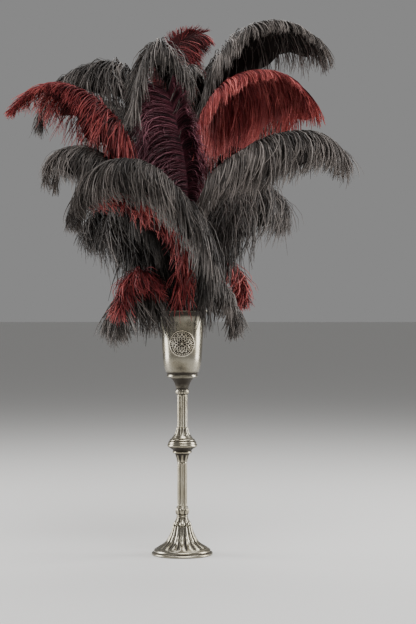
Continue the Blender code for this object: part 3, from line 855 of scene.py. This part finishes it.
def grow_plume(name, **given):
    """One plume in place of its solid, in the dye that its name ends with: its shaft, barbs and sheets of
    painted shade.
    """
    plume = Plume(name + "_barbs", **given)
    piece = linked(plume.name, seeds(plume, Shaft(plume)))
    growth = piece.modifiers.new("growth", "NODES")
    growth.node_group = grow_barbs
    dye = name.split("_")[-1]
    values = {"Steps": plume.steps, "Width": BARB_WIDTH * MM, "Frizz": plume.frizz, "Curl": plume.curl}
    values |= {"Seed": plume.place * 10, "Material": DYES[dye]}
    for item in grow_barbs.interface.items_tree:
        if item.name in values:
            growth[item.identifier] = values[item.name]
    grown = applied(piece)
    for spent in ("root", "start", "fall", "inward", "length", "droop", "thickness", "barb"):
        grown.attributes.remove(grown.attributes[spent])
    grown.shade_smooth()
    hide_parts("plume_" + name)
    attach(piece, "root")


def dyed_barbs(name, deep, middle, light, gloss):
    """Dyed barbs: deep at the shaft, lighter where each thins to its tip, uneven from barb to barb, and
    painted darker in shade.
    """
    material, barb, shader = new_material(name)
    place = barb.node("ShaderNodeTexCoord", out="Object")
    shade = barb.attribute("shade")
    along = barb.attribute("along")
    clouds = barb.noise(place, scale=28.0, detail=4.0)
    down = barb.noise(place, scale=900.0, detail=2.0)
    strand = barb.attribute("strand")
    lines = barb.node("ShaderNodeTexNoise", {"noise_dimensions": "1D"}, {"W": strand * 0.9, "Detail": 2.0})
    tone = shade * 0.75 + (clouds - 0.5) * 0.5 + along * 0.3 + (down - 0.5) * 0.35
    tone = tone + (lines - 0.5) * 0.7 - 0.05
    stops = [(0.15, deep), (0.5, middle), (0.95, light)]
    fuzz = {"Strength": 0.5, "Distance": 0.0004, "Height": down * 0.6 + lines}
    barb.feed(
        shader,
        {
            "Base Color": barb.node("ShaderNodeValToRGB", {"stops": stops}, {"Fac": tone}, out="Color"),
            "Roughness": gloss + (down - 0.5) * 0.25 + barb.ease(shade, 0.3, 0.0) * 0.4,
            "Normal": barb.node("ShaderNodeBump", {}, fuzz, out="Normal"),
            "Specular IOR Level": 0.35,
            "Sheen Weight": 0.06,
            "Sheen Roughness": 0.4,
            "Sheen Tint": (*light, 1),
        },
    )
    return material


DYES = {
    "black": dyed_barbs("black_barbs", (0.008, 0.006, 0.005), (0.062, 0.052, 0.046), (0.255, 0.22, 0.2), 0.5),
    "red": dyed_barbs("dark_red_barbs", (0.028, 0.003, 0.004), (0.2, 0.022, 0.025), (0.62, 0.15, 0.135), 0.5),
    "plum": dyed_barbs("plum_barbs", (0.012, 0.002, 0.004), (0.085, 0.014, 0.026), (0.3, 0.11, 0.14), 0.48),
}

grow_plume(
    "front_black", place=0, lean=27, bare=60,
    shaft=[(20, -42, 476), (31, -64, 522), (24, -84, 562), (-5, -98, 600), (-34, -108, 630),
           (-66, -114, 646), (-104, -118, 645), (-134, -118, 628), (-154, -112, 600), (-164, -106, 574)],
    side=-80, near=(124, 116, 98, 60), far=(2, 5, 60, 60), barbs=(1350, 450), locks=9, droop=(1, 0.9),
    sweep=(0, 0.1, 0, 0.1), twist=-60, steps=6, frizz=0.13, curl=0.8, tone=-0.05,
)
grow_plume(
    "front_red", place=21, lean=31, bare=40,
    shaft=[(-2, -38, 470), (0, -50, 520), (-24, -62, 562), (-62, -74, 588), (-104, -80, 602),
           (-134, -82, 594)],
    side=-95, near=(80, 62, 66, 44), far=(2, 5, 26, 22), barbs=(650, 200), locks=8,
    sweep=(0, 0.1, 0, 0.1), frizz=0.3, curl=0.9, tone=0.05, shaded=(0, 0.5),
)
grow_plume(
    "centre_plum", place=22, lean=24, bare=40,
    shaft=[(8, -22, 523), (8, -20, 631), (2, -20, 670), (-5, -20, 701), (-13, -20, 737), (-23, -18, 769)],
    side=180, near=(12, 22, 120, 70), far=(10, 14, 54, 36), barbs=(1150, 650), locks=8,
    droop=(0.76, 0.66), steps=6, frizz=0.08, curl=0.25,
)

# ------------------------------------------------------- the plumes to the right
# Three black plumes and a dark-red one that arch over to the right, one above the other.
grow_plume(
    "right_black", place=1, lean=27, bare=60,
    shaft=[(30, -32, 507), (35, -40, 580), (52, -46, 632), (104, -54, 672), (165, -60, 697),
           (222, -62, 694), (250, -60, 674)],
    side=-90, near=(12, 70, 120, 72), far=(16, 58, 110, 76), barbs=(1150, 600), locks=9,
    sweep=(-0.2, 0, 0, 0.1), twist=30, steps=6, frizz=0.09, tone=0.12,
)
grow_plume(
    "right_red", place=3, lean=25, bare=60,
    shaft=[(20, -6, 508), (24, -6, 607), (30, -6, 691), (42, -5, 749), (73, 0, 790), (122, 5, 809),
           (168, 8, 803), (194, 8, 785)],
    side=-90, near=(14, 20, 30, 50, 44, 30, 18), far=(10, 8, 8, 40, 176, 150, 80), barbs=(650, 1200),
    locks=9, sweep=(0, 0.2, 0, 0.1), steps=6, frizz=0.08, curl=0.3, tone=0.15, shaded=(0.8, 0.5),
    down=0.55, reach=(0.55, 0.85),
)
grow_plume(
    "crest_black", place=6, lean=25, bare=60,
    shaft=[(22, 20, 520), (28, 40, 646), (38, 54, 766), (62, 52, 841), (123, 42, 894), (182, 34, 894),
           (224, 28, 868)],
    side=-90, near=(12, 12, 14, 60, 60, 34, 30), far=(12, 12, 14, 70, 146, 134, 66), barbs=(850, 1000),
    locks=9, sweep=(-0.1, 0.1, 0.1, 0.2), twist=20, steps=6, frizz=0.1, curl=0.3, tone=0.12,
)
grow_plume(
    "under_right_black", place=5, lean=27, bare=60,
    shaft=[(34, 20, 483), (56, 56, 540), (86, 86, 592), (116, 108, 620), (144, 124, 616),
           (158, 132, 592)],
    side=-90, near=(80, 156, 150, 64), far=(30, 100, 120, 60), barbs=(850, 450), locks=8,
    sweep=(-0.2, 0, -0.1, 0), twist=20,
)

# ---------------------------------------------------------- the plumes at the top
# A dark-red plume that stands highest in the middle, and two narrow black ones that bend forward before it.
grow_plume(
    "crown_red", place=11, lean=25, bare=250,
    shaft=[(-8, 40, 526), (-18, 68, 680), (-32, 82, 790), (-30, 84, 834), (-14, 84, 862), (8, 82, 878),
           (30, 79, 882)],
    side=160, near=(14, 26, 34, 24), far=(14, 70, 90, 44), barbs=(450, 850), locks=8, droop=(0.5, 0.7),
    frizz=0.06, curl=0.2, tone=-0.32,
)
grow_plume(
    "arch_black", place=10, lean=25, bare=60,
    shaft=[(1, 20, 525), (4, 36, 678), (7, 42, 770), (8, 34, 812), (8, 10, 814), (8, -6, 780)],
    side=180, near=(20, 30, 60, 40), far=(20, 30, 60, 40), barbs=(520, 520), locks=7, droop=(0.85, 0.85),
)
grow_plume(
    "peak_black", place=16, lean=24, bare=60,
    shaft=[(-8, -2, 524), (-11, -2, 674), (-16, -6, 774), (-26, -14, 830), (-42, -24, 850),
           (-58, -38, 832), (-70, -48, 795), (-78, -54, 758)],
    side=-50, near=(10, 20, 84, 76), far=(4, 8, 56, 66), barbs=(600, 400), locks=8,
)

# -------------------------------------------------------- the plumes to the left
# A black plume behind, a dark-red one whose hem is drawn to a point, and two black ones that hang under it.
grow_plume(
    "upper_left_black", place=14, lean=25, bare=60,
    shaft=[(-16, 14, 525), (-30, 32, 643), (-52, 46, 746), (-80, 50, 806), (-123, 46, 829),
           (-174, 40, 816), (-214, 34, 786), (-234, 30, 742)],
    side=-90, near=(20, 90, 140, 50), far=(20, 50, 90, 50), barbs=(950, 450), locks=9,
    sweep=(-0.1, 0.1, 0, 0.1),
)
grow_plume(
    "left_red", place=18, lean=25, bare=60,
    shaft=[(-20, -16, 507), (-48, -20, 589), (-82, -26, 668), (-115, -34, 728), (-159, -40, 766),
           (-208, -42, 779), (-246, -42, 764), (-272, -40, 742)],
    side=-90, near=(14, 14, 36, 104, 64, 26, 30), far=(20, 24, 50, 110, 130, 80, 30), barbs=(800, 800),
    locks=9, droop=(1, 0.95), sweep=(0, 1, 0.1, 0.8), steps=6, reach=(0.65, 0.5),
)
grow_plume(
    "left_black", place=19, lean=27, bare=60,
    shaft=[(-26, -28, 487), (-56, -38, 563), (-92, -44, 623), (-127, -48, 658), (-165, -54, 674),
           (-192, -56, 666), (-204, -56, 646)],
    side=-90, near=(30, 84, 116, 56), far=(20, 50, 100, 56), barbs=(700, 580), locks=8,
    sweep=(0, 0.2, 0, 0.2), twist=-50, frizz=0.12, tone=0.2, shaded=(1.6, 0.85),
)
grow_plume(
    "left_hem_black", place=15, lean=28, bare=60,
    shaft=[(-24, 8, 468), (-48, 20, 516), (-76, 30, 556), (-102, 36, 578), (-124, 38, 580),
           (-138, 38, 564)],
    side=-90, near=(70, 160, 150, 66), far=(50, 140, 140, 66), barbs=(850, 650), locks=8, frizz=0.22,
    tone=-0.2, shaded=(0.6, 0.6),
)

# -------------------------------------------------- the low plumes round the rim
# Short black and dark-red plumes that fall over the cup's rim at either side.
grow_plume(
    "low_left_black", place=17, lean=32, bare=34,
    shaft=[(-50, -16, 446), (-68, -20, 458), (-82, -20, 450), (-93, -18, 434), (-101, -16, 410)],
    side=-90, near=(108, 110, 110, 96, 50), far=(56, 86, 92, 84, 50), barbs=(600, 450), locks=6,
    sweep=(0, 0.2, 0, 0.2), twist=-20, frizz=0.25,
)
grow_plume(
    "low_left_red", place=20, lean=32, bare=34,
    shaft=[(-36, -44, 440), (-52, -56, 464), (-70, -62, 470), (-84, -64, 454), (-90, -64, 424)],
    side=-100, near=(24, 50, 66, 50), far=(16, 36, 50, 46), barbs=(450, 300), locks=6, droop=(0.9, 0.9),
    frizz=0.34, curl=0.9,
)
grow_plume(
    "low_right_black", place=2, lean=32, bare=34,
    shaft=[(40, -32, 438), (54, -40, 452), (68, -44, 446), (78, -44, 422), (81, -42, 398)],
    side=-90, near=(50, 66, 66, 46), far=(20, 30, 50, 44), barbs=(450, 300), locks=6,
    droop=(0.95, 0.95), sweep=(-0.2, 0.2, 0, 0.2), frizz=0.25,
)
grow_plume(
    "low_right_red", place=4, lean=30, bare=40,
    shaft=[(44, 16, 452), (58, 46, 484), (74, 66, 490), (90, 76, 468), (96, 80, 434)],
    side=-90, near=(14, 50, 74, 36), far=(20, 40, 60, 32), barbs=(400, 300), locks=6,
    droop=(0.95, 0.95), sweep=(-0.2, 0.2, 0, 0.2), twist=40, frizz=0.28, curl=0.9,
)

# ------------------------------------------------------ the plumes at the back
# Five plumes that fill the bouquet out behind, where it is as full as in front.
grow_plume(
    "back_right_black", place=7, lean=25, bare=60,
    shaft=[(30, 46, 544), (74, 108, 664), (112, 148, 738), (146, 176, 757), (174, 192, 722)],
    side=-40, near=(30, 70, 112, 70), far=(30, 70, 116, 70), barbs=(380, 380), locks=6,
    sweep=(0, 0.2, 0, 0.2),
)
grow_plume(
    "back_red", place=8, lean=25, bare=60,
    shaft=[(8, 58, 561), (8, 112, 686), (16, 156, 776), (28, 186, 800), (40, 208, 766)],
    side=0, near=(30, 60, 100, 70), far=(30, 60, 100, 70), barbs=(330, 330), locks=6,
    sweep=(0, 0.2, 0, 0.2),
)
grow_plume(
    "back_low_black", place=9, lean=32, bare=34,
    shaft=[(4, 60, 445), (0, 84, 472), (-1, 114, 482), (-1, 142, 460), (-1, 152, 420)],
    side=0, near=(40, 76, 104, 76), far=(40, 76, 104, 76), barbs=(330, 330), locks=5,
    sweep=(0, 0.2, 0, 0.2),
)
grow_plume(
    "back_low_red", place=12, lean=28, bare=50,
    shaft=[(-15, 48, 480), (-32, 96, 550), (-46, 138, 584), (-60, 170, 578), (-70, 184, 538)],
    side=20, near=(12, 50, 104, 76), far=(12, 50, 100, 76), barbs=(340, 340), locks=6,
)
grow_plume(
    "back_left_black", place=13, lean=25, bare=60,
    shaft=[(-30, 46, 544), (-66, 106, 670), (-100, 148, 752), (-132, 180, 778), (-156, 198, 744)],
    side=50, near=(12, 18, 112, 70), far=(12, 18, 104, 70), barbs=(380, 380), locks=6,
    sweep=(0, 0.2, 0, 0.2),
)

# ------------------------------------------------------ the floor, light and camera
# A plain pale floor under soft studio light: a wide light above, another behind, and a tall soft box to each
# side, which makes the bright lines down the edges of the metal.
FLOOR_REACH = 60
FLOOR_LEVEL = -0.0004
quarters = ((-1, -1), (1, -1), (1, 1), (-1, 1))
floor_corners = [(x * FLOOR_REACH, y * FLOOR_REACH, FLOOR_LEVEL) for x, y in quarters]
floor_mesh = bpy.data.meshes.new("floor")
floor_mesh.from_pydata(floor_corners, [], [(0, 1, 2, 3)])
floor = linked("floor", floor_mesh)
floor_material, _, floor_shader = new_material("pale_floor")
floor_shader.inputs["Base Color"].default_value = (0.72, 0.71, 0.69, 1)
floor_shader.inputs["Roughness"].default_value = 0.6
floor_mesh.materials.append(floor_material)

world = bpy.data.worlds.new("studio")
world.use_nodes = True
world.node_tree.nodes["Background"].inputs["Color"].default_value = (0.80, 0.80, 0.80, 1)
world.node_tree.nodes["Background"].inputs["Strength"].default_value = 0.32
bpy.context.scene.world = world


def soft_box(name, place, target, width, height, power):
    """A rectangular light of this size and power, turned towards the target."""
    light = bpy.data.lights.new(name, "AREA")
    light.shape = "RECTANGLE"
    light.size = width
    light.size_y = height
    light.energy = power
    lamp = linked(name, light)
    lamp.location = place
    toward = np.subtract(target, place)
    lamp.rotation_euler = (
        math.atan2(math.hypot(toward[0], toward[1]), -toward[2]),
        0,
        math.atan2(toward[1], toward[0]) - math.pi / 2,
    )


soft_box("light_above", (0.3, -0.9, 2.2), target=(0, 0, 0.6), width=1.4, height=1.4, power=45)
for side, x in (("right", 1.9), ("left", -1.9)):
    soft_box("light_" + side, (x, 0.35, 0.7), target=(0, 0, 0.4), width=0.9, height=1.6, power=45)
soft_box("light_behind", (0.2, 1.0, 2.3), target=(0, 0, 0.5), width=1.8, height=1.2, power=34)

camera_data = bpy.data.cameras.new("camera")
camera_data.lens = 89.42
camera_data.sensor_width = 36
camera = linked("camera", camera_data)
camera.location = (0.043, -2.589, 0.404)
camera.rotation_euler = (math.radians(90), 0, 0)
bpy.context.scene.camera = camera
